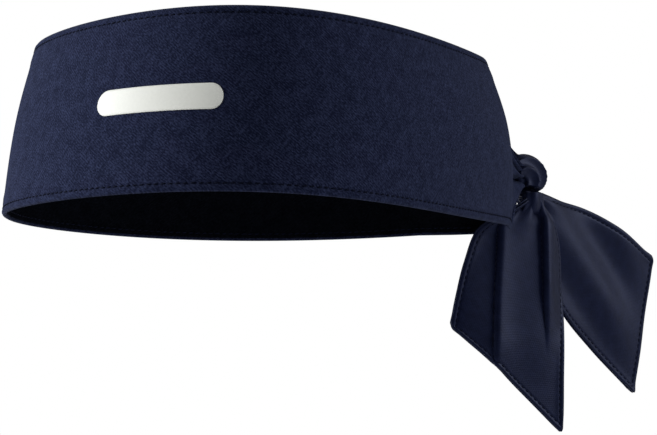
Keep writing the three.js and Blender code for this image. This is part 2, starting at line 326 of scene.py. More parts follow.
class Shader:
    """A material's node tree and the one way in which nodes are added to it."""

    def __init__(self, name: str) -> None:
        """Starts a material with an empty node tree.

        Args:
            name: The material's name.
        """
        self.material = bpy.data.materials.new(name)
        self.material.use_nodes = True
        self.tree = self.material.node_tree
        self.tree.nodes.clear()

    @staticmethod
    def _find(sockets: Sequence[bpy.types.NodeSocket], key: str | int) -> bpy.types.NodeSocket:
        """The socket with that place, identifier or name.

        Args:
            sockets: The sockets to look through.
            key: The place, identifier or name.

        Returns:
            The socket.
        """
        if isinstance(key, int):
            return sockets[key]
        exact = [s for s in sockets if s.identifier == key]
        return (exact or [s for s in sockets if s.name == key])[0]

    def node(self, kind: str, settings: dict, inputs: dict) -> bpy.types.Node:
        """Adds one node.

        Args:
            kind: The node's type.
            settings: Its options, which are set first.
            inputs: Values or Wires for its sockets, by place, identifier or name.

        Returns:
            The new node.
        """
        made = self.tree.nodes.new(kind)
        for option, value in settings.items():
            setattr(made, option, value)
        for key, value in inputs.items():
            socket = self._find(made.inputs, key)
            if isinstance(value, Wire):
                self.tree.links.new(value.socket, socket)
            else:
                socket.default_value = value
        return made

    def wire(self, kind: str, settings: dict, inputs: dict, output: str | int = 0) -> Wire:
        """Adds one node and returns one of its outputs."""
        return Wire(self, self._find(self.node(kind, settings, inputs).outputs, output))

    def blend(self, share: Wire, low: Sequence[float], high: Sequence[float]) -> Wire:
        """A colour between low, at 0, and high, at 1."""
        colours = {"Factor_Float": share, "A_Color": (*low, 1.0), "B_Color": (*high, 1.0)}
        return self.wire("ShaderNodeMix", {"data_type": "RGBA"}, colours, "Result_Color")

    def finish(self, sockets: dict) -> bpy.types.Material:
        """Ends the tree in a Principled shader with those sockets.

        Args:
            sockets: Values or Wires for the Principled shader's sockets.

        Returns:
            The finished material.
        """
        principled = self.wire("ShaderNodeBsdfPrincipled", {}, sockets)
        self.node("ShaderNodeOutputMaterial", {}, {"Surface": principled})
        return self.material


@dataclass(frozen=True)
class KnitFinish:
    """A fine knit: slanted ribs of yarn, with lighter fibres mixed through it.

    The pattern runs on the UV map, whose unit is a metre of cloth.
    """

    name: str
    dark: tuple[float, float, float]
    light: tuple[float, float, float]
    rib_pitch: float = 0.85 * MM
    rib_slant: float = math.radians(38)
    # How much lighter the rib crests are painted: painted shade between the ribs.
    rib: float = 0.3
    heather: float = 0.75
    heather_pitch: float = 0.5 * MM
    roughness: float = 0.9
    sheen: float = 0.07
    sheen_roughness: float = 0.45
    sheen_tint: tuple[float, float, float] = (0.55, 0.62, 0.85)
    ior: float = 1.12
    specular_tint: tuple[float, float, float] = (0.5, 0.6, 1.0)
    relief: float = 0.08 * MM

    def make(self) -> bpy.types.Material:
        """Builds the material.

        Returns:
            The material.
        """
        shader = Shader(self.name)
        uv = shader.wire("ShaderNodeUVMap", {"uv_map": "UVMap"}, {})
        turned = {"Vector": uv, "Rotation": (0.0, 0.0, self.rib_slant)}
        ribs_at = shader.wire("ShaderNodeMapping", {}, turned)
        along_across = shader.node("ShaderNodeSeparateXYZ", {}, {"Vector": ribs_at})
        along, across = (Wire(shader, along_across.outputs[i]) for i in range(2))
        rib = (across * (2 * math.pi / self.rib_pitch)).sine() * 0.5 + 0.5
        yarn = (along * (math.pi / self.rib_pitch)).sine() * 0.5 + 0.5
        fibre = self._noise(shader, ribs_at, (0.45, 1.0, 1.0), self.heather_pitch, 2.0)
        patch = self._noise(shader, ribs_at, (1.0, 1.0, 1.0), 9 * self.heather_pitch, 1.0)
        # The rib and yarn waves, which also set the bump's height, make the colour lighter on the crests:
        # painted shade in the hollows between ribs and loops. The fibre and patch noise are the heather's
        # own random tone.
        mix = (fibre - 0.5) * (4.2 * self.heather) + (patch - 0.5) * 0.9 + rib * self.rib + yarn * 0.1 + 0.12
        height = rib * 0.6 + yarn * 0.25 + fibre * 0.5
        bumped = {"Strength": 0.65, "Distance": self.relief, "Height": height}
        return shader.finish(
            {
                "Base Color": shader.blend(mix.clamped(), self.dark, self.light),
                "Roughness": (fibre * 0.12 + (self.roughness - 0.06)).clamped(),
                "IOR": self.ior,
                "Specular Tint": (*self.specular_tint, 1.0),
                "Sheen Weight": self.sheen,
                "Sheen Roughness": self.sheen_roughness,
                "Sheen Tint": (*self.sheen_tint, 1.0),
                "Normal": shader.wire("ShaderNodeBump", {}, bumped),
            }
        )

    @staticmethod
    def _noise(shader: Shader, at: Wire, stretch: tuple, pitch: float, detail: float) -> Wire:
        """Noise whose grains are about a pitch wide, stretched along the ribs.

        Args:
            shader: The shader that it is added to.
            at: Where on the cloth.
            stretch: The scale along each axis.
            pitch: A grain's width.
            detail: How many finer octaves it has.

        Returns:
            The noise, from 0 to 1.
        """
        scaled = {"Vector": at, "Scale": stretch}
        place = shader.wire("ShaderNodeMapping", {}, scaled)
        return shader.wire("ShaderNodeTexNoise", {}, {"Vector": place, "Scale": 1 / pitch, "Detail": detail})


@dataclass(frozen=True)
class ThreadFinish:
    """Sewing thread: two plies twisted together."""

    name: str
    dark: tuple[float, float, float]
    light: tuple[float, float, float]
    roughness: float = 0.7
    plies: float = 5.0
    ior: float = 1.12
    specular_tint: tuple[float, float, float] = (0.5, 0.6, 1.0)

    def make(self) -> bpy.types.Material:
        """Builds the material.

        Returns:
            The material.
        """
        shader = Shader(self.name)
        uv = shader.wire("ShaderNodeUVMap", {"uv_map": "UVMap"}, {})
        split = shader.node("ShaderNodeSeparateXYZ", {}, {"Vector": uv})
        along, round_it = (Wire(shader, split.outputs[i]) for i in range(2))
        # The twist is the plies' relief for the bump, and the colour follows it: painted shade in the
        # grooves between the plies, lighter on their crests.
        twist = ((along + round_it) * (2 * math.pi * self.plies)).sine() * 0.5 + 0.5
        bumped = {"Strength": 0.5, "Distance": 0.05 * MM, "Height": twist}
        return shader.finish(
            {
                "Base Color": shader.blend(twist, self.dark, self.light),
                "Roughness": self.roughness,
                "IOR": self.ior,
                "Specular Tint": (*self.specular_tint, 1.0),
                "Normal": shader.wire("ShaderNodeBump", {}, bumped),
            }
        )


@dataclass(frozen=True)
class FilmFinish:
    """A thin printed film pressed onto the knit, whose ribs show through a little."""

    name: str
    colour: tuple[float, float, float]
    shade: tuple[float, float, float]
    grain: float = 1.1 * MM
    roughness: float = 0.55

    def make(self) -> bpy.types.Material:
        """Builds the material.

        Returns:
            The material.
        """
        shader = Shader(self.name)
        uv = shader.wire("ShaderNodeUVMap", {"uv_map": "UVMap"}, {})
        grain = shader.wire(
            "ShaderNodeTexNoise", {}, {"Vector": uv, "Scale": 1 / self.grain, "Detail": 3.0}
        )
        bumped = {"Strength": 0.35, "Distance": 0.08 * MM, "Height": grain}
        return shader.finish(
            {
                "Base Color": shader.blend(grain, self.shade, self.colour),
                "Roughness": (grain * 0.2 + (self.roughness - 0.1)).clamped(),
                "Specular IOR Level": 0.35,
                "Normal": shader.wire("ShaderNodeBump", {}, bumped),
            }
        )


@dataclass(frozen=True)
class FloorFinish:
    """A pale matt floor."""

    name: str
    colour: tuple[float, float, float] = (0.82, 0.82, 0.82)

    def make(self) -> bpy.types.Material:
        """Builds the material."""
        shader = Shader(self.name)
        return shader.finish({"Base Color": (*self.colour, 1.0), "Roughness": 0.9})


@dataclass(frozen=True)
class Finishes:
    """Every finish of the head tie, made once."""

    band: bpy.types.Material
    lining: bpy.types.Material
    tie: bpy.types.Material
    thread: bpy.types.Material
    film: bpy.types.Material

    @classmethod
    def make(cls) -> "Finishes":
        """Builds them.

        Returns:
            The finishes.
        """
        band = KnitFinish(
            "band_knit",
            (0.0038, 0.0052, 0.0155),
            (0.0175, 0.0225, 0.0515),
            sheen=0.035,
            ior=1.1,
        )
        # Near-black lining colour: partly the lining's own dark knit, partly painted shade of the shadowed
        # inside of the ring. No sheen and a low IOR keep reflection off it.
        lining = KnitFinish(
            "lining_knit", (0.0009, 0.0011, 0.0019), (0.0032, 0.0038, 0.0062), sheen=0.0, ior=1.02
        )
        tie = KnitFinish(
            "tie_knit",
            (0.0018, 0.0026, 0.0098),
            (0.0062, 0.0088, 0.0275),
            rib_pitch=0.6 * MM,
            rib=0.1,
            heather=0.25,
            heather_pitch=0.45 * MM,
            roughness=0.44,
            sheen=0.03,
            ior=1.24,
            specular_tint=(0.36, 0.46, 0.95),
            relief=0.05 * MM,
        )
        # Dark navy thread. The step between its two colours is painted shade in the ply grooves.
        thread = ThreadFinish("stitch_thread", (0.0012, 0.0016, 0.0045), (0.0035, 0.0045, 0.012))
        film = FilmFinish("transfer_film", (0.52, 0.53, 0.5), (0.46, 0.47, 0.44))
        return cls(band.make(), lining.make(), tie.make(), thread.make(), film.make())


# ---- Stitches ----
@dataclass(frozen=True)
class StitchRow:
    """A row of short thread stitches, each a capsule that dips into the cloth at both ends."""

    pitch: float = 2.7 * MM
    length: float = 2.0 * MM
    radius: float = 0.24 * MM
    lift: float = 0.2 * MM
    skew: float = 0.12

    def surface(self, path: Grid, normals: Grid) -> Surface:
        """Lays the stitches along a path.

        A stitch's middle line is the straight piece of the path, raised by lift times
        1 - s², where s runs from -1 to 1 along it. Its radius is the half thickness times the
        square root of 1 - s⁴.

        Args:
            path: Points of the path, close together.
            normals: The cloth's normal at each point.

        Returns:
            One surface of separate closed capsules.
        """
        run = np.concatenate([[0], np.cumsum(np.linalg.norm(np.diff(path, axis=0), axis=1))])
        count = int(run[-1] / self.pitch)
        at = (np.arange(count) + 0.5) * run[-1] / count

        def read(values: Grid, place: Grid) -> Grid:
            """The values at places along the path."""
            return np.stack([np.interp(place, run, values[:, k]) for k in range(3)], -1)

        centre = read(path, at)
        half = self.length / 2
        ahead, behind = read(path, at + half), read(path, at - half)
        along = unit(ahead - behind)
        normal = read(normals, at)
        normal = unit(normal - along * np.sum(normal * along, -1, keepdims=True))
        sideways = np.cross(normal, along)
        along = unit(along + self.skew * sideways)
        sideways = np.cross(normal, along)
        s = np.array([-0.97, -0.6, 0.0, 0.6, 0.97])
        turn = np.arange(6) * (2 * math.pi / 6)
        radius = self.radius * np.sqrt(1 - s**4)
        raised = self.lift * (1 - s**2)
        out = raised[:, None] + radius[:, None] * np.sin(turn)
        side = radius[:, None] * np.cos(turn)
        body = (
            centre[:, None, None]
            + (half * s)[None, :, None, None] * along[:, None, None]
            + out[None, :, :, None] * normal[:, None, None]
            + side[None, :, :, None] * sideways[:, None, None]
        )
        one_uv = np.stack(np.meshgrid(s / 2, turn / (2 * math.pi), indexing="ij"), -1)
        template = closed_tube(body[0], one_uv)
        rings = body.reshape(count, -1, 3)
        poles = body[:, [0, -1]].mean(axis=2)
        points = np.concatenate([rings, poles], axis=1)
        shift = (np.arange(count) * points.shape[1])[:, None, None]
        faces = [(f[None] + shift).reshape(-1, f.shape[1]) for f in template.faces]
        return Surface(points.reshape(-1, 3), faces, np.tile(template.uv, (count, 1)))


# ---- The band ----
@dataclass(frozen=True)
class HeadRing:
    """The band's line round the head at its lower edge, seen from above."""

    half_width: float = 82.3 * MM
    half_length: float = 95.7 * MM
    egg: float = 0.31
    heel: float = 14.8 * MM
    heel_sharpness: int = 6

    def at(self, angle: Grid) -> tuple[Grid, Grid]:
        """The ring at angles from the forehead, positive to the wearer's left.

        x is the half width times the sine, made wider in front by the egg's share of the
        cosine. y is minus the half length times the cosine, plus a heel that grows as the
        sixth power of (1 - cosine) / 2.

        Args:
            angle: Angles in radians.

        Returns:
            The points and the outward normals.
        """
        sin, cos = np.sin(angle), np.cos(angle)
        pull = (1 - cos) / 2
        x = self.half_width * sin * (1 + self.egg * cos)
        y = -self.half_length * cos + self.heel * pull**self.heel_sharpness
        dx = self.half_width * (cos + self.egg * np.cos(2 * angle))
        heel_slope = self.heel_sharpness * pull ** (self.heel_sharpness - 1) * sin / 2
        dy = self.half_length * sin + self.heel * heel_slope
        flat = np.zeros_like(x)
        return np.stack([x, y, flat], -1), unit(np.stack([dy, -dx, flat], -1))


@dataclass(frozen=True)
class HemRelief:
    """A rolled rim and, under the stitches, the groove where they pull the cloth in."""

    rim: float
    rim_inset: float
    rim_width: float
    groove: float
    groove_width: float

    def height(self, inset: Grid, stitch_inset: float) -> Grid:
        """How far the face stands proud at a distance inside the edge, as two humps."""
        proud = self.rim * bell(inset, self.rim_inset, self.rim_width)
        return proud - self.groove * bell(inset, stitch_inset, self.groove_width)


@dataclass(frozen=True)
class Emblem:
    """A plain bar with round ends on the left of the forehead."""

    angle: float = math.radians(30)
    length: float = 50 * MM
    width: float = 9 * MM
    thickness: float = 0.28 * MM
    sunk: float = 0.02 * MM
    rim: float = 0.08 * MM
    tip_points: int = 14
    straight_points: int = 58
    rows: int = 15
    trial_turn: float = 0.01

    def surface(self, band: "Band") -> Surface:
        """The bar, laid on the band's outer face half way up.

        Its half height is the radius, and over the round ends the radius times the cosine of
        the turn.

        Args:
            band: The band that it is pressed onto.

        Returns:
            One closed surface.
        """
        middle, radius = band.height / 2, self.width / 2
        straight = self.length / 2 - radius
        turn = np.radians(np.linspace(84, 0, self.tip_points))
        tip = np.stack([straight + radius * np.sin(turn), radius * np.cos(turn)], -1)
        x = np.linspace(-straight, straight, self.straight_points + 2)[1:-1]
        body = np.stack([x, np.full_like(x, radius)], -1)
        bar = np.concatenate([tip * (-1, 1), body, tip[::-1]])
        beside = np.array([self.angle, self.angle + self.trial_turn])
        two = band.on_ring(beside, np.full(2, middle), np.zeros(2))
        per_metre = self.trial_turn / np.linalg.norm(two[1] - two[0])
        share = np.linspace(-1, 1, self.rows)
        turned = self.angle + per_metre * bar[:, 0, None] + 0 * share
        up = middle + bar[:, 1, None] * share
        front = band.on_ring(turned, up, np.full_like(up, -self.thickness))
        back = band.on_ring(turned, up, np.full_like(up, -self.sunk))
        uv = np.stack([bar[:, 0, None] + 0 * share, up], -1)
        return cloth_slab(front, back, uv, self.rim)


@dataclass
class Band:
    """The two layers of the band, which run into pleated necks and on into the knot."""

    finishes: Finishes
    knot: Vector
    ring: HeadRing = field(default_factory=HeadRing)
    emblem: Emblem = field(default_factory=Emblem)
    relief: HemRelief = HemRelief(0.2 * MM, 1.1 * MM, 0.8 * MM, 0.3 * MM, 0.55 * MM)
    height: float = 64 * MM
    panel_end: float = math.radians(152)
    lean: tuple[float, float, float] = (14 * MM, 4.3 * MM, 8.3 * MM)
    bulge: tuple[float, float, float] = (2 * MM, 2.9 * MM, 5 * MM)
    edge_wave: tuple[float, float] = (1.3 * MM, -0.7 * MM)
    cloth: float = 0.7 * MM
    hem_cloth: float = 0.5 * MM
    hem_depth: float = 8 * MM
    hem_fullness: float = 0.28 * MM
    edge_drop: float = 0.25 * MM
    edge_drop_width: float = 0.7 * MM
    unevenness: float = 0.16 * MM
    layer_gap: float = 0.3 * MM
    lining_setback: float = 0.9 * MM
    outer_rim: float = 0.45 * MM
    lining_rim: float = 0.3 * MM
    stitch_inset: float = 2.3 * MM
    gather_start: float = math.radians(136)
    lower_edge_rise: tuple[float, float] = (0.75, 1.08)
    rise_difference: float = -0.04
    first_handle: float = 0.3
    upper_edge_fall: tuple[float, float] = (0.15, 0.9)
    pleats_start: float = 0.62
    neck_end_height: float = 13 * MM
    neck_end_x: float = 5.4 * MM
    neck_overlap: float = 5 * MM
    pleats: int = 5
    deepest_pleat: float = 2.2 * MM
    halvings: int = 24
    stations_round: int = 520
    stations_neck: int = 46

    def _round_the_head(self, sizes: tuple[float, float, float], angle: Grid) -> Grid:
        """Blends sizes for the forehead, the sides and the nape.

        Their weights are the squares of (1 + cosine) / 2, the sine, and (1 - cosine) / 2,
        over the weights' sum.

        Args:
            sizes: The sizes at the forehead, the sides and the nape.
            angle: Angles from the forehead.

        Returns:
            The size at each angle.
        """
        front, back = ((1 + np.cos(angle)) / 2) ** 2, ((1 - np.cos(angle)) / 2) ** 2
        side = np.sin(angle) ** 2
        return (front * sizes[0] + side * sizes[1] + back * sizes[2]) / (front + side + back)

    def on_ring(self, angle: Grid, up: Grid, depth: Grid) -> Grid:
        """The point at an angle, a height above the lower edge and a depth behind the face.

        It is the ring's point, moved out by a bulge of 4s(1 - s) and in by a lean of s, where
        s is the height's share, and by a slight unevenness of the cloth.

        Args:
            angle: Angles from the forehead.
            up: Heights above the lower edge, along the cloth.
            depth: Depths behind the outer face.

        Returns:
            The points.
        """
        point, outward = self.ring.at(angle)
        s = up / self.height
        lean = self._round_the_head(self.lean, angle) * s
        bulge = self._round_the_head(self.bulge, angle) * 4 * s * (1 - s)
        slack = np.sin(7 * angle + 9 * s) + 0.7 * np.sin(11 * angle - 6 * s + 1.3)
        uneven = self.unevenness * slack * np.sin(math.pi * np.clip(s, 0, 1))
        edge = self.edge_wave[0] * np.cos(2 * angle) + self.edge_wave[1] * np.cos(3 * angle)
        point = point + outward * (bulge - lean + uneven - depth)[..., None]
        point[..., 2] = edge + up
        return point

    def _stations(self) -> tuple[Grid, Grid]:
        """For each station along the cloth, its angle and its share of the way down a neck.

        Returns:
            The angles and the shares, one of each for each station.
        """
        neck = np.linspace(0, 1, self.stations_neck + 1)[1:]
        angle = np.linspace(-self.panel_end, self.panel_end, self.stations_round)
        angles = np.concatenate([np.full_like(neck, angle[0]), angle, np.full_like(neck, angle[-1])])
        shares = np.concatenate([neck[::-1], np.zeros_like(angle), neck])
        return angles, shares

    def sweep(self, up: Grid, depth: Grid) -> Grid:
        """Carries a section of the cloth from inside the knot, round the head and back.

        Seen from above, a station on the ring stays on it, and on a neck each point follows a
        cubic Bezier curve to its place in the bundle inside the knot. From where the gathering
        starts, the section's heights draw together towards the bundle's by a ramp of the
        share of the way to the knot, later for the lower edge than for the upper, and the
        cloth's spare height goes into pleats.

        Args:
            up: Heights of the section's points above the lower edge.
            depth: Their depths behind the outer face.

        Returns:
            Points, stations by section points.
        """
        angles, shares = self._stations()
        angle, up_all = np.meshgrid(angles, up, indexing="ij")
        depth_all = np.broadcast_to(depth, angle.shape)
        t = np.broadcast_to(shares[:, None], angle.shape)[..., None]
        start = self.on_ring(angle, up_all, depth_all)
        side = np.sign(angle)
        outward = self.ring.at(angle)[1]
        flat = np.zeros_like(side)
        heading = np.stack([-outward[..., 1], outward[..., 0], flat], -1) * side[..., None]
        into_knot = np.full_like(side, self.knot.y - self.neck_overlap)
        end = np.stack([side * (self.neck_end_x - depth_all), into_knot, start[..., 2]], -1)
        reach = np.linalg.norm(end - start, axis=-1, keepdims=True) / 3
        back_off = np.stack([side * 0.5, -np.ones_like(side), flat], -1)
        swept = (
            (1 - t) ** 3 * start
            + 3 * t * (1 - t) ** 2 * (start + heading * reach * self.first_handle)
            + 3 * t**2 * (1 - t) * (end + back_off * reach)
            + t**3 * end
        )
        gathered = self._gathered(swept, angles)
        s = up_all / self.height
        lower, upper = self.lower_edge_rise, self.upper_edge_fall
        first, last = (lower[i] + (upper[i] - lower[i]) * s for i in range(2))
        first = first + self.rise_difference * side * (1 - s)
        drawn = ramp(gathered[:, None], first, last)
        level = s - 0.5
        swept[..., 2] += (self.knot.z + self.neck_end_height * level - swept[..., 2]) * drawn
        return swept + self._pleat(swept, up_all, side, gathered)

    def _gathered(self, swept: Grid, angles: Grid) -> Grid:
        """Each station's share of the way from where the gathering starts to the knot.

        Args:
            swept: The points, stations by section points.
            angles: The stations' angles.

        Returns:
            A share from 0 to 1 for each station.
        """
        middle = swept.mean(axis=1)
        run = np.concatenate([[0], np.cumsum(np.linalg.norm(np.diff(middle, axis=0), axis=1))])
        from_front = abs(run - run[-1] / 2)
        start = from_front[np.argmin(abs(angles - self.gather_start))]
        return np.clip((from_front - start) / (run[-1] / 2 - start), 0, 1)

    def _pleat(self, swept: Grid, up: Grid, side: Grid, gathered: Grid) -> Grid:
        """The sideways moves that take up the spare height where the cloth is gathered.

        They are cosines of the height, of the size that keeps a section's length.

        Args:
            swept: The points before pleating, stations by section points.
            up: Their heights on the flat cloth.
            side: 1 on the wearer's left and -1 on the right.
            gathered: Each station's share of the gathering.

        Returns:
            What to add to each point.
        """
        middle = swept.mean(axis=1)
        forward = np.gradient(middle, axis=0)
        across = unit(np.stack([forward[:, 1], -forward[:, 0], np.zeros(len(forward))], -1))
        q = up / self.height
        phase = self.pleats * (q + 0.035 * np.sin(9 * q + 1.2 * side)) + 0.1 * side
        wave = np.cos(2 * math.pi * phase) + 0.25 * np.cos(4.4 * math.pi * phase + 1)
        steps = np.diff(swept, axis=1)
        rises = np.diff(wave, axis=1)
        wanted = np.linalg.norm(steps[len(steps) // 2], axis=-1).sum()
        low, high = np.zeros(len(swept)), np.full(len(swept), self.deepest_pleat)
        for _ in range(self.halvings):
            size = (low + high) / 2
            long = np.sqrt((steps**2).sum(-1) + (size[:, None] * rises) ** 2).sum(axis=1)
            low, high = np.where(long < wanted, size, low), np.where(long < wanted, high, size)
        size = (low + high) / 2 * ramp(gathered, self.pleats_start, self.pleats_start + 0.3)
        return across[:, None] * (size[:, None] * wave)[..., None]

    def _outer_relief(self, up: Grid) -> Grid:
        """How far the outer face stands proud at each height.

        Both edges have a rolled rim, a fuller doubled hem, and a groove where the stitches
        pull the cloth in.

        Args:
            up: Heights above the lower edge.

        Returns:
            How far the face stands out at each height.
        """
        edge = np.minimum(up, self.height - up)
        turned_over = self.edge_drop * (1 - ramp(edge, 0, self.edge_drop_width))
        hem = self.hem_fullness * (1 - ramp(edge, self.hem_depth - 1.2 * MM, self.hem_depth + 0.6 * MM))
        return self.relief.height(edge, self.stitch_inset) - turned_over + hem

    def _uv(self, points: Grid, up: Grid) -> Grid:
        """Metres along the cloth and metres up it.

        Args:
            points: The points, stations by section points.
            up: The section points' heights.

        Returns:
            A UV for each point.
        """
        middle = points[:, points.shape[1] // 2]
        run = np.concatenate([[0], np.cumsum(np.linalg.norm(np.diff(middle, axis=0), axis=1))])
        return np.stack(np.meshgrid(run, up, indexing="ij"), -1)

    def build(self) -> None:
        """Makes the outer cloth, the lining, the four rows of stitches and the emblem."""
        up = edge_spacing(self.height, 6 * MM, 19, 26)
        proud = self._outer_relief(up)
        edge = np.minimum(up, self.height - up)
        doubled = self.hem_cloth * (1 - ramp(edge, self.hem_depth - 0.4 * MM, self.hem_depth))
        front, back = self.sweep(up, -proud), self.sweep(up, self.cloth + doubled)
        uv = self._uv(front, up)
        outer = make_piece(
            "band_outer_cloth",
            cloth_slab(front, back, uv, self.outer_rim),
            self.finishes.band,
        )
        lining_at = self.cloth + self.hem_cloth + self.layer_gap
        lining_up = edge_spacing(self.height - 2 * self.lining_setback, 5 * MM, 10, 26) + self.lining_setback
        near = self.sweep(lining_up, np.full_like(lining_up, lining_at))
        far = self.sweep(lining_up, np.full_like(lining_up, lining_at + self.cloth))
        lining = make_piece(
            "band_lining_cloth",
            cloth_slab(near, far, self._uv(near, lining_up), self.lining_rim),
            self.finishes.lining,
        )
        for piece in (outer, lining):
            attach(piece, "head_band")
        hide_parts("band_outer_panel", "left_neck", "right_neck")
        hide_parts("band_lining")
        self.height + 2 * self.hem_depth
        self._stitches(up, front, lining_at + self.cloth)
        self._emblem()

    def _stitches(self, up: Grid, front: Grid, lining_face: float) -> None:
        """Lays a row of stitches along each edge, on the outside and on the lining side.

        Args:
            up: The outer face's heights.
            front: The outer face, stations by heights.
            lining_face: How deep the lining's inner face lies behind the outer one.
        """
        row = StitchRow()
        hidden = self.stations_neck // 3
        for edge, height in (("bottom", self.stitch_inset), ("top", self.height - self.stitch_inset)):
            column = int(np.argmin(abs(up - height)))
            outward = self._normals(front, column)
            inside = self.sweep(np.array([height, height + MM]), np.full(2, lining_face))
            sides = (("needle", front[:, column], outward), ("bobbin", inside[:, 0], -outward))
            for thread, path, normals in sides:
                surface = row.surface(path[hidden:-hidden], normals[hidden:-hidden])
                piece = make_piece(
                    f"{edge}_{thread}_stitches", surface, self.finishes.thread
                )
                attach(piece, "head_band")
                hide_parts(f"{edge}_{thread}_thread")

    @staticmethod
    def _normals(front: Grid, column: int) -> Grid:
        """The outward normals of the outer face along one of its lines.

        Args:
            front: The outer face, stations by heights.
            column: Which of its lines.

        Returns:
            One normal for each station.
        """
        along = np.gradient(front[:, column], axis=0)
        upward = front[:, min(column + 4, front.shape[1] - 1)] - front[:, max(column - 4, 0)]
        return unit(np.cross(along, upward))

    def _emblem(self) -> None:
        """Makes the emblem's film."""
        film = make_piece(
            "front_emblem_film", self.emblem.surface(self), self.finishes.film
        )
        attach(film, "head_band")
        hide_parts("front_emblem")


# ---- The knot ----
@dataclass
class Knot:
    """The two wraps of gathered cloth and the roll of cloth inside them."""

    finishes: Finishes
    centre: Vector
    outer_radius: float = 9.9 * MM
    eye_radius: float = 2 * MM
    eye: tuple[float, float] = (-4.6 * MM, -3.4 * MM)
    face_x: float = 8.6 * MM
    rim_x: float = 5.2 * MM
    tucked_x: float = 3 * MM
    face_below: tuple[float, float] = (-58, -34)
    face_ahead: tuple[float, float] = (135, 175)
    spacing: float = 0.4 * MM
    pleats: float = 2.2
    pleat_depth: float = 1.1 * MM
    softness: tuple[float, float] = (0.3 * MM, 0.25 * MM)
    wrap_width: float = 10.5 * MM
    wrap_cut: float = 8.5 * MM
    wrap_section: float = 27 * MM
    roll_radius: float = 3.4 * MM
    roll_half_length: float = 5.6 * MM
    roll_place: tuple[float, float] = (-3 * MM, -2 * MM)
    roll_pleats: int = 6
    roll_flat: tuple[float, float] = (13.5 * MM, 10.5 * MM)

    def _wrap(self, side: int) -> Grid:
        """The surface of one wrap, round the axis from left to right.

        Its section is a rounded oblong, the powers 0.75 of a sine and a cosine, stretched
        between the knot's outline and a small eye that lies forward and low. The end face
        stands out over the top and the back, and is drawn in below. The pleats wind once
        round the eye: they are powers 0.7 of a sine, which have a sharp crease.

        Args:
            side: 1 for the wearer's left and -1 for the right.

        Returns:
            The points, turns round the axis by section points.
        """
        turn = np.linspace(-math.pi, math.pi, 181)[:-1, None]
        section = np.linspace(0, 2 * math.pi, 121)[None, :-1]
        across = np.sign(np.sin(section)) * abs(np.sin(section)) ** 0.75
        out = np.sign(np.cos(section)) * abs(np.cos(section)) ** 0.75
        degrees = np.degrees(turn)
        proud = ramp(degrees, *self.face_below) * (1 - ramp(degrees, *self.face_ahead))
        share = (1 + out) / 2
        near_eye = self.tucked_x + (self.face_x - self.tucked_x) * proud
        near_rim = self.tucked_x + (self.rim_x - self.tucked_x) * proud
        reach = near_eye + (near_rim - near_eye) * share
        x = self.spacing / 2 + (1 + across) / 2 * reach
        place = self.pleats * share + turn / (2 * math.pi) + 0.12 * np.sin(turn + 0.5 + side)
        folds = 1 - 2 * abs(np.sin(math.pi * place)) ** 0.7
        shown = ramp(across, -0.2, 0.6) * np.sin(math.pi * share) ** 0.5
        depth = self.pleat_depth * (0.6 + 0.5 * np.cos(turn)) * shown * folds
        soft = self.softness[0] * np.sin(2 * turn + 1.1 * side)
        soft = soft + self.softness[1] * np.sin(3 * turn + side)
        x = x + depth
        radius = self.eye_radius + (self.outer_radius + soft - self.eye_radius) * share + 0.5 * depth
        y = self.centre.y + self.eye[0] * (1 - share) + radius * np.cos(turn)
        z = self.centre.z + self.eye[1] * (1 - share) + radius * np.sin(turn) * (1 - 0.1 * share)
        return np.stack([side * x, y, z], -1)

    def build(self) -> None:
        """Makes both wraps and the roll."""
        for name, side in (("left", 1), ("right", -1)):
            points = self._wrap(side)
            run = 2 * math.pi * self.outer_radius
            rows, cols = points.shape[:2]
            along, round_it = np.linspace(0, run, rows), np.linspace(0, self.wrap_section, cols)
            uv = np.stack(np.meshgrid(along, round_it, indexing="ij"), -1)
            wrap = make_piece(
                f"{name}_knot_wrap", closed_ring(points, uv), self.finishes.tie
            )
            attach(wrap, "head_band")
            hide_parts(f"{name}_knot_loop")
            self.wrap_cut * run
        self._roll()

    def _roll(self) -> None:
        """The roll inside: a short pleated cylinder with domed ends."""
        along = np.linspace(-1, 1, 41)[:, None]
        turn = np.linspace(0, 2 * math.pi, 65)[None, :-1]
        dome = np.sqrt(np.clip(1 - abs(along) ** 6, 0.02, 1))
        pleat = 1 + 0.07 * np.cos(self.roll_pleats * turn + 2 * along)
        radius = self.roll_radius * dome * pleat
        x = self.roll_half_length * along + 0 * turn
        y = self.centre.y + self.roll_place[0] + radius * np.cos(turn)
        z = self.centre.z + self.roll_place[1] + radius * np.sin(turn)
        uv = np.stack([x, 4 * MM * turn + 0 * x], -1)
        roll = make_piece(
            "knot_inner_roll", closed_tube(np.stack([x, y, z], -1), uv), self.finishes.tie
        )
        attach(roll, "head_band")
        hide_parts("knot_core")


# ---- The tails ----
@dataclass(frozen=True)
class KnifePleat:
    """A fold that steps up to one side and laps over the cloth beside it.

    Its line is given by places across the tail at distances away from the knot.
    """

    line: Sequence[Point]
    step: float
    lap: float
    fade: tuple[float, float]
    tilts: tuple[float, float]
    width: float = 0.65 * MM
    run_out: float = 17 * MM
    rise: tuple[float, float] = (9 * MM, 20 * MM)

    def moves(self, across: Grid, away: Grid) -> tuple[Grid, Grid]:
        """The outward and the sideways move of the cloth.

        Outward it is a rounded step, half of 1 + tanh, that dies away beyond the line. The
        cloth also falls away by one tilt before the line and by another beyond it. Sideways
        it is a hump just beyond the line, which pushes the step's shoulder over it.

        Args:
            across: Places across the tail.
            away: Their distances away from the knot.

        Returns:
            Both moves.
        """
        places, distances = zip(*self.line)
        line = np.interp(away, distances, places)
        beyond = across - line
        strength = (1 - ramp(away, *self.fade)) * ramp(away, *self.rise)
        step = 0.5 * (1 + np.tanh(beyond / self.width)) * np.exp(-np.maximum(beyond, 0) / self.run_out)
        shoulder = bell(beyond, 0.9 * self.width, 1.6 * self.width)
        fall = self.tilts[0] * np.maximum(-beyond, 0) + self.tilts[1] * np.maximum(beyond, 0)
        return strength * (self.step * step - fall), -self.lap * strength * shoulder


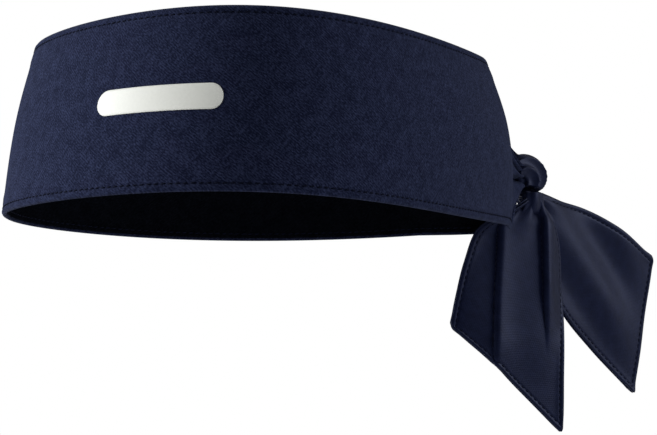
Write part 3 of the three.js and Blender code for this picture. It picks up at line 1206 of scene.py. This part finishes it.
@dataclass
class Tail:
    """One hanging tail: its gathered throat, two cloths and two rows of stitches."""

    name: str
    side: int
    exit_angle: float
    yaw: float
    front_edge: Sequence[Point]
    rear_edge: Sequence[Point]
    pleats: Sequence[KnifePleat]
    ripple: tuple[float, float, float]
    finishes: Finishes
    knot: Vector
    offset: float = 5 * MM
    outward: float = 0.04
    parting_start: float = 20 * MM
    yaw_run: tuple[float, float] = (8 * MM, 24 * MM)
    cloth: float = 0.7 * MM
    layer_gap: float = 0.3 * MM
    rim: float = 0.35 * MM
    stitch_inset: float = 1.9 * MM
    stitch_sink: float = 0.25 * MM
    stitch_start: float = 0.14
    corner_radius: float = 1.8 * MM
    relief: HemRelief = HemRelief(0.2 * MM, 0.8 * MM, 0.7 * MM, 0.22 * MM, 0.45 * MM)
    gather_depth: float = 1.6 * MM
    gather_waves: float = 2.5
    gather_run: tuple[float, float] = (9 * MM, 7 * MM)
    curl: float = 0.8 * MM
    curl_width: float = 3 * MM
    slant_share: float = 0.85
    throat_run: tuple[float, float] = (5 * MM, 14 * MM)
    throat_width: tuple[float, float] = (4.6 * MM, 7 * MM)
    throat_depth: float = 3.4 * MM
    throat_flat: tuple[float, float] = (20 * MM, 10.5 * MM)
    throat_bend: tuple[float, float] = (4 * MM, 13 * MM)
    throat_half_ring: float = 22 * MM
    flat_width: float = 52 * MM
    flat_length: float = 92 * MM
    bend: tuple[float, float] = (13 * MM, 27 * MM)

    def place(self, x: Grid, across: Grid, away: Grid) -> Grid:
        """A place in the tail's own frame, as a point: x, then the turn by the exit angle.

        Args:
            x: How far to the wearer's left.
            across: Places across the tail.
            away: Distances away from the knot.

        Returns:
            The points.
        """
        sin, cos = math.sin(self.exit_angle), math.cos(self.exit_angle)
        y = self.knot.y + across * cos + away * sin
        z = self.knot.z + across * sin - away * cos
        return np.stack(np.broadcast_arrays(x, y, z), -1)

    def middle(self, u: Grid, v: Grid) -> Grid:
        """The surface midway between the two cloths.

        Straight lines join the two long edges. The gathers near the knot are a cosine of u
        that dies away, and the pleats and a slow ripple are added outwards.

        Args:
            u: Shares of the way from the front edge to the rear edge.
            v: Shares of the way from the knot to the cut.

        Returns:
            The points.
        """
        front, rear = smooth_curve(self.front_edge, v), smooth_curve(self.rear_edge, v)
        flat = front + (rear - front) * u[..., None]
        across, away = flat[..., 0], flat[..., 1]
        width = np.linalg.norm(rear - front, axis=-1)
        inset = np.minimum(u, 1 - u) * width
        short = np.clip(1 - inset / self.corner_radius, 0, 1)
        away = away - self.corner_radius * (1 - np.sqrt(1 - short**2)) * ramp(v, 0.9, 1)
        start, fade = self.gather_run
        gathered = np.exp(-np.maximum(away - start, 0) / fade)
        turns = self.gather_waves * u + 0.1 * self.side
        gather = self.gather_depth * gathered * np.cos(2 * math.pi * turns)
        size, wave, phase = self.ripple
        calm = (1 - gathered) * (1 - 0.85 * ramp(v, 0.7, 1))
        ripple = size * np.sin(2 * math.pi * across / wave + phase + 9 * away) * calm
        curl = self.curl * bell(inset, 0, self.curl_width) * np.sin(70 * away + 2 * u)
        lift, shift = ripple + gather + curl, 0
        for pleat in self.pleats:
            out, sideways = pleat.moves(across, away)
            lift = lift + out
            shift = shift + sideways
        parted = self.outward * np.maximum(away - self.parting_start, 0)
        full = ramp(away, *self.yaw_run)
        x = self.side * (self.offset + parted) + self.yaw * full * across + lift
        return self.place(x, across + shift, away)

    def normal(self, u: Grid, v: Grid) -> Grid:
        """The surface's normal, on the side of the wearer's left.

        Args:
            u: Shares of the way from the front edge to the rear edge.
            v: Shares of the way from the knot to the cut.

        Returns:
            One unit vector for each place.
        """
        step = 2e-3
        along_u = self.middle(np.clip(u + step, 0, 1), v) - self.middle(np.clip(u - step, 0, 1), v)
        along_v = self.middle(u, np.clip(v + step, 0, 1)) - self.middle(u, np.clip(v - step, 0, 1))
        normal = unit(np.cross(along_v, along_u))
        return normal * np.where(normal[..., :1].mean() < 0, -1, 1)

    def _inset(self, u: Grid, v: Grid) -> Grid:
        """About how far a place lies inside the two long edges and the cut.

        Args:
            u: Shares of the way from the front edge to the rear edge.
            v: Shares of the way from the knot to the cut.

        Returns:
            The distances.
        """
        front, rear = smooth_curve(self.front_edge, v), smooth_curve(self.rear_edge, v)
        width = np.linalg.norm(rear - front, axis=-1)
        return np.minimum(np.minimum(u, 1 - u) * width, (1 - v) * self._length())

    def _length(self) -> float:
        """The mean length of the two long edges.

        Returns:
            That length in metres.
        """
        share = np.linspace(0, 1, 200)
        edges = (smooth_curve(edge, share) for edge in (self.front_edge, self.rear_edge))
        return float(np.mean([np.linalg.norm(np.diff(e, axis=0), axis=1).sum() for e in edges]))

    def _cloth(self, facing: int) -> Surface:
        """One cloth, on the wearer's left (1) or right (-1) of the middle surface.

        Its face has a rolled rim, and a groove under the stitches.

        Args:
            facing: 1 for the wearer's left and -1 for the right.

        Returns:
            One closed surface.
        """
        u = edge_spacing(1, 0.1, 16, 84)
        v = np.concatenate([np.linspace(0, 0.9, 110)[:-1], np.linspace(0.9, 1, 26)])
        vs, us = np.meshgrid(v, u, indexing="ij")
        middle, normal = self.middle(us, vs), self.normal(us, vs) * facing
        inset = self._inset(us, vs)
        face = self.layer_gap / 2 + self.cloth + self.relief.height(inset, self.stitch_inset)
        front = middle + normal * face[..., None]
        back = middle + normal * (self.layer_gap / 2)
        uv = np.stack([us * self.flat_width, vs * self.flat_length], -1)
        return cloth_slab(front, back, uv, self.rim)

    def _stitch_path(self, facing: int) -> tuple[Grid, Grid]:
        """Down the front edge, along the cut and up the rear edge, on one cloth's face.

        Args:
            facing: 1 for the cloth on the wearer's left and -1 for the one on the right.

        Returns:
            The path's points and the cloth's normals there.
        """
        last = 1 - self.stitch_inset / self._length()
        down = np.linspace(self.stitch_start, last, 160)
        front, rear = smooth_curve(self.front_edge, down), smooth_curve(self.rear_edge, down)
        inset = self.stitch_inset / np.linalg.norm(rear - front, axis=-1)
        cut = np.linspace(inset[-1], 1 - inset[-1], 90)[1:-1]
        u = np.concatenate([inset, cut, 1 - inset[::-1]])
        v = np.concatenate([down, np.full_like(cut, last), down[::-1]])
        normal = self.normal(u, v) * facing
        face = self.layer_gap / 2 + self.cloth - self.stitch_sink
        return self.middle(u, v) + normal * face, normal

    def build(self) -> None:
        """Makes the throat, both cloths and both rows of stitches."""
        self._throat()
        row = StitchRow(pitch=2.5 * MM, length=1.8 * MM, radius=0.2 * MM, lift=0.16 * MM)
        layers = (("outer", "needle", self.side), ("lining", "bobbin", -self.side))
        for layer, thread, facing in layers:
            cloth = make_piece(
                f"{self.name}_tail_{layer}_cloth", self._cloth(facing), self.finishes.tie
            )
            stitches = make_piece(
                f"{self.name}_tail_{thread}_stitches",
                row.surface(*self._stitch_path(facing)),
                self.finishes.thread,
            )
            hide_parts(f"{self.name}_tail_{layer}")
            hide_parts(f"{self.name}_tail_{thread}_thread")
            for piece in (cloth, stitches):
                root, tail = f"{self.name}_root", f"{self.name}_tail"
                self._bend(piece, root, tail, *self.bend)
            self.slant_share * self.flat_width * self.flat_length

    def _bend(self, piece: bpy.types.Object, still: str, moving: str, first: float, last: float) -> None:
        """Bakes a piece's placement into its mesh, without bending it.

        Args:
            piece: The piece.
            still: Not used.
            moving: Not used.
            first: How far away from the knot a bend would start; the point there is found and not used.
            last: How far away a bend would end; the point there is found and not used.
        """
        x = np.array(self.side * self.offset)
        start, end = (self.place(x, np.array(0.0), np.array(away)) for away in (first, last))
        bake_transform(piece)

    def _throat(self) -> None:
        """The gathered cloth between the knot and the tail.

        A flattened ring of pleats, which widens and grows thin away from the knot.
        """
        share = np.linspace(0, 1, 30)[:, None]
        turn = np.linspace(0, 2 * math.pi, 121)[None, :-1]
        first, last = self.throat_run
        narrow, wide_end = self.throat_width
        away = first + (last - first) * share
        wide = narrow + (wide_end - narrow) * share**2
        deep = self.throat_depth * np.sqrt(1 - 0.92 * share**2)
        pleat = 1 + (0.05 + 0.05 * share) * np.cos(7 * turn + 0.8 * np.sin(2 * turn) + share)
        across = wide * pleat * np.cos(turn)
        x = self.side * self.offset + deep * pleat * np.sin(turn)
        points = self.place(x, across, away + 0 * turn)
        uv = np.stack([self.throat_half_ring * turn / math.pi + 0 * share, away + 0 * turn], -1)
        throat = make_piece(
            f"{self.name}_tail_throat", closed_tube(points, uv), self.finishes.tie
        )
        self._bend(throat, "head_band", f"{self.name}_root", *self.throat_bend)
        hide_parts(f"{self.name}_tail_root")


def mm_points(*pairs: Point) -> list[Point]:
    """Pairs given in millimetres, in metres."""
    return [(a * MM, b * MM) for a, b in pairs]


def make_tails(finishes: Finishes, knot: Vector) -> list[Tail]:
    """The two tails, with their outlines as places across and away from the knot.

    Args:
        finishes: The finishes.
        knot: The centre of the knot's core.

    Returns:
        The left tail and the right tail.
    """
    left = Tail(
        name="left",
        side=1,
        exit_angle=0.0,
        yaw=0.12,
        front_edge=mm_points((-4, 8), (-12.5, 13), (-25.2, 20.5), (-31.2, 34), (-34.9, 49), (-36.9, 60)),
        rear_edge=mm_points((3.5, 7), (9.4, 14.7), (14.8, 26), (15.9, 40), (12.2, 68), (10.3, 101.6)),
        pleats=(
            KnifePleat(
                line=mm_points((-3, 9), (-15.3, 19), (-18.1, 45), (-20, 70)),
                step=2.3 * MM,
                lap=1.1 * MM,
                fade=(64 * MM, 84 * MM),
                tilts=(0.22, 0),
            ),
            KnifePleat(
                line=mm_points((1, 9), (4.3, 15), (3.7, 45)),
                step=3.7 * MM,
                lap=1.6 * MM,
                fade=(40 * MM, 72 * MM),
                tilts=(0, 0.42),
                run_out=9 * MM,
            ),
        ),
        ripple=(0.5 * MM, 34 * MM, 0.6),
        finishes=finishes,
        knot=knot,
    )
    right = Tail(
        name="right",
        side=-1,
        exit_angle=math.radians(45),
        yaw=0.0,
        front_edge=mm_points((-4, 8), (-9, 18), (-15.5, 34), (-18.3, 56), (-16.2, 78), (-13.2, 107.3)),
        rear_edge=mm_points((4, 8), (12, 20.5), (20.3, 31.6), (28.3, 49), (35.2, 74)),
        pleats=(),
        ripple=(1.5 * MM, 27 * MM, 0.4),
        finishes=finishes,
        knot=knot,
    )
    return [left, right]


# ---- The studio ----
@dataclass(frozen=True)
class Studio:
    """The floor, the soft lights and the camera."""

    azimuth: float = math.radians(54)
    elevation: float = math.radians(-5.4)
    distance: float = 0.9
    lens: float = 129.4
    target: tuple[float, float, float] = (0.0, 28.6 * MM, 2.0 * MM)
    floor_level: float = -0.13
    floor_half: float = 3.0
    ambient: float = 0.22

    def _camera(self) -> None:
        """The camera, on the left front and a little below the band."""
        data = bpy.data.cameras.new("camera")
        data.lens = self.lens
        data.sensor_width = 36.0
        camera = bpy.data.objects.new("camera", data)
        bpy.context.scene.collection.objects.link(camera)
        flat = math.cos(self.elevation)
        back = Vector(
            (math.sin(self.azimuth) * flat, -math.cos(self.azimuth) * flat, math.sin(self.elevation))
        )
        camera.location = Vector(self.target) + back * self.distance
        camera.rotation_euler = (-back).to_track_quat("-Z", "Y").to_euler()
        bpy.context.scene.camera = camera

    def _light(self, name: str, place: tuple[float, float, float], size: float, power: float) -> None:
        """A square soft light, aimed at the band.

        Args:
            name: The light's name.
            place: Where it hangs.
            size: Its square's side.
            power: Its power in watts.
        """
        data = bpy.data.lights.new(name, "AREA")
        data.shape = "SQUARE"
        data.size = size
        data.energy = power
        light = bpy.data.objects.new(name, data)
        bpy.context.scene.collection.objects.link(light)
        light.location = place
        light.rotation_euler = (Vector(self.target) - light.location).to_track_quat("-Z", "Y").to_euler()

    def _surroundings(self) -> None:
        """A white backdrop that lights the object more softly than it looks."""
        world = bpy.data.worlds.new("surroundings")
        bpy.context.scene.world = world
        world.use_nodes = True
        tree = world.node_tree
        tree.nodes.clear()
        path = tree.nodes.new("ShaderNodeLightPath")
        lit, seen = (tree.nodes.new("ShaderNodeBackground") for _ in range(2))
        lit.inputs["Strength"].default_value = self.ambient
        seen.inputs["Color"].default_value = lit.inputs["Color"].default_value = (1, 1, 1, 1)
        mix, output = tree.nodes.new("ShaderNodeMixShader"), tree.nodes.new("ShaderNodeOutputWorld")
        tree.links.new(path.outputs["Is Camera Ray"], mix.inputs[0])
        tree.links.new(lit.outputs[0], mix.inputs[1])
        tree.links.new(seen.outputs[0], mix.inputs[2])
        tree.links.new(mix.outputs[0], output.inputs["Surface"])

    def _floor(self) -> None:
        """A wide plain floor below the tails."""
        half = self.floor_half
        corners = [(-half, -half), (half, -half), (half, half), (-half, half)]
        mesh = bpy.data.meshes.new("floor")
        mesh.from_pydata([(x, y, self.floor_level) for x, y in corners], [], [(0, 1, 2, 3)])
        mesh.materials.append(FloorFinish("pale_floor").make())
        floor = bpy.data.objects.new("floor", mesh)
        bpy.context.scene.collection.objects.link(floor)

    def build(self) -> None:
        """Sets up the whole studio."""
        bpy.context.scene.view_settings.view_transform = "Standard"
        self._surroundings()
        self._floor()
        self._light("left_softbox", place=(-0.75, -1.1, 0.4), size=0.7, power=34.0)
        self._light("right_softbox", place=(0.85, 1.0, 0.45), size=0.7, power=13.0)
        self._light("top_softbox", place=(0.3, 0.1, 1.3), size=0.9, power=4.0)
        self._camera()


def main() -> None:
    """Builds the studio, the band, the knot and the tails."""
    logging.basicConfig(level=logging.INFO, format="%(message)s")
    Studio().build()
    finishes = Finishes.make()
    low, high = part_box("knot_core")
    knot = (low + high) / 2
    wraps = knot + Vector(KNOT_PULL)
    Band(finishes, wraps).build()
    Knot(finishes, wraps).build()
    for tail in make_tails(finishes, knot):
        tail.build()


if __name__ == "__main__":
    main()
